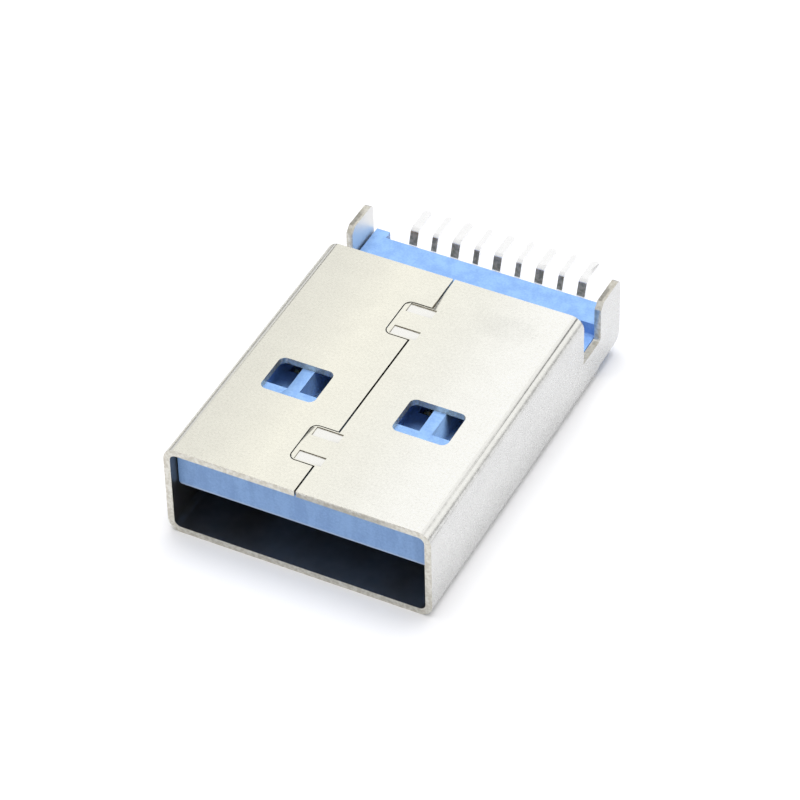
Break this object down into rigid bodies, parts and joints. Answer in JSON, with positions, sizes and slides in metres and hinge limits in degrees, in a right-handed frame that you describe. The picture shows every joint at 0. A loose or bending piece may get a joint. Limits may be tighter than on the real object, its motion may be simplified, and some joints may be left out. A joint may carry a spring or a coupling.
{
  "type": "usb-a plug",
  "caption": "Standard-A USB 3 plug for a board edge: a folded steel shell with solder ears round a blue contact housing, with a row of surface-mount tails behind.",
  "frame": {"origin": "middle of the bounding box in X and Y, on the plane that the plain face rests on", "axes": "+X across the plug, +Y from the mouth towards the solder tails, +Z from the plain face to the seamed face"},
  "size_m": [0.012, 0.02, 0.0045],
  "materials": {
    "shell_steel": "satin nickel plate on rolled steel sheet",
    "blue_plastic": "moulded, fine matt",
    "contact_strip": "copper alloy, gold on the wiping faces and tin on the tails"
  },
  "bodies": {
    "root": {"shell": "shell_steel", "housing": "blue_plastic", "tail_spacer": "blue_plastic", "blade_contact_1": "contact_strip", "blade_contact_2": "contact_strip", "blade_contact_3": "contact_strip", "blade_contact_4": "contact_strip", "spring_contact_1": "contact_strip", "spring_contact_2": "contact_strip", "spring_contact_3": "contact_strip", "spring_contact_4": "contact_strip", "spring_contact_5": "contact_strip"}
  },
  "joints": []
}
